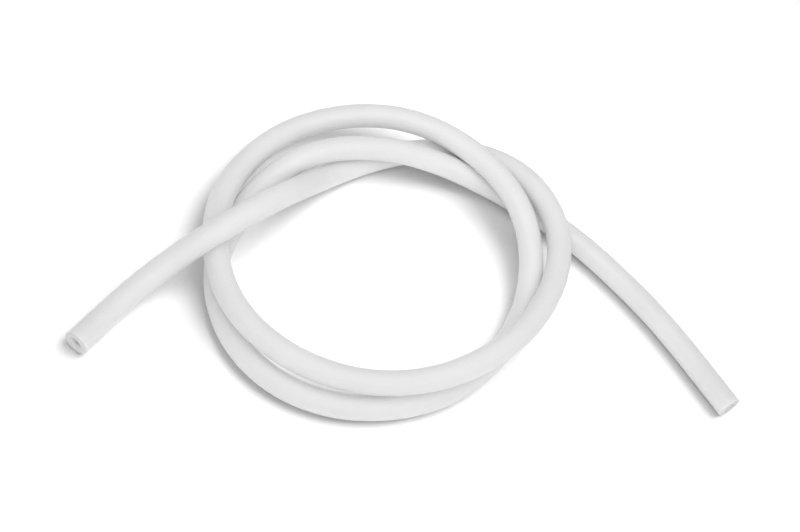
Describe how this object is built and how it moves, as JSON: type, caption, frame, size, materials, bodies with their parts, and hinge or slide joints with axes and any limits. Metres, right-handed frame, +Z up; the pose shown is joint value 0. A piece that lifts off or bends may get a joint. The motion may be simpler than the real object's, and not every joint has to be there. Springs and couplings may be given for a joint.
{
  "type": "silicone tubing coil",
  "caption": "Length of thick-walled round silicone tubing, cut square at both ends and laid down in a loose coil with a tail at each side.",
  "frame": {"origin": "under the middle of the tube's box, on the surface that it lies on", "axes": "+X along the greatest extent, towards the right tail; +Z up, the least extent"},
  "size_m": [0.2038, 0.1292, 0.0268],
  "materials": {
    "silicone": "translucent milky white silicone, satin"
  },
  "bodies": {
    "root": {"silicone_tube": "silicone"}
  },
  "joints": []
}
